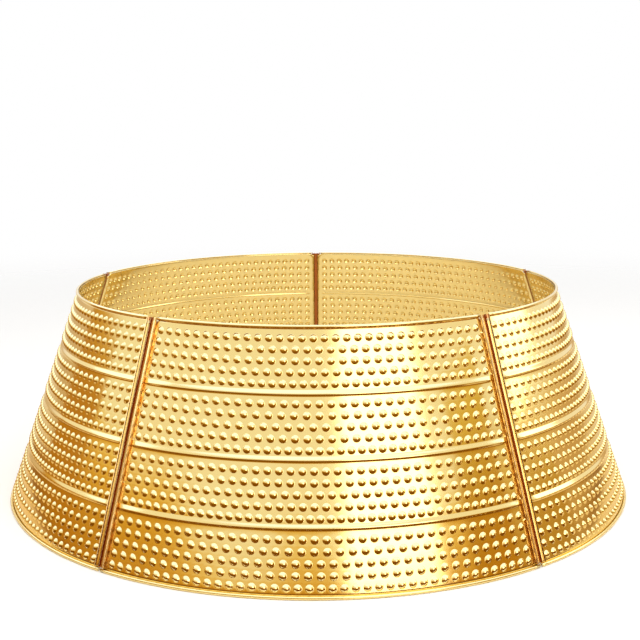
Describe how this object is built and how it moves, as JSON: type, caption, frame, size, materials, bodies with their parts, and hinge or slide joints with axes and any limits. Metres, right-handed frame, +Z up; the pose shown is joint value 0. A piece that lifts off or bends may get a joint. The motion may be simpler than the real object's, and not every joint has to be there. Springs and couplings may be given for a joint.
{
  "type": "christmas tree collar",
  "caption": "Round, tapering sheet-metal collar that stands on the floor round a tree stand, made of dimpled gold panels held together by joining strips that slide up off the seams.",
  "frame": {"origin": "middle of the ring on the floor that it stands on", "axes": "+Z up along the ring's axis, the front panel faces -Y, +X to the right seen from the front"},
  "size_m": [0.7596, 0.7598, 0.247],
  "materials": {
    "panel_gold": "polished gold plating on pressed sheet steel",
    "strip_gold": "polished gold plating on folded sheet steel"
  },
  "bodies": {
    "ring": {"panel_front": "panel_gold", "panel_front_right": "panel_gold", "panel_back_right": "panel_gold", "panel_back_left": "panel_gold", "panel_front_left": "panel_gold"},
    "strip_front_right": {"strip_front_right": "strip_gold"},
    "strip_right": {"strip_right": "strip_gold"},
    "strip_back": {"strip_back": "strip_gold"},
    "strip_left": {"strip_left": "strip_gold"},
    "strip_front_left": {"strip_front_left": "strip_gold"}
  },
  "joints": [
    {"name": "strip_front_right_slide", "type": "slide", "parent": "ring", "child": "strip_front_right", "axis": [-0.2, 0.2753, 0.9403], "range_m": [0, 0.26]},
    {"name": "strip_right_slide", "type": "slide", "parent": "ring", "child": "strip_right", "axis": [-0.3237, -0.1052, 0.9403], "range_m": [0, 0.26]},
    {"name": "strip_back_slide", "type": "slide", "parent": "ring", "child": "strip_back", "axis": [0, -0.3403, 0.9403], "range_m": [0, 0.26]},
    {"name": "strip_left_slide", "type": "slide", "parent": "ring", "child": "strip_left", "axis": [0.3237, -0.1052, 0.9403], "range_m": [0, 0.26]},
    {"name": "strip_front_left_slide", "type": "slide", "parent": "ring", "child": "strip_front_left", "axis": [0.2, 0.2753, 0.9403], "range_m": [0, 0.26]}
  ]
}
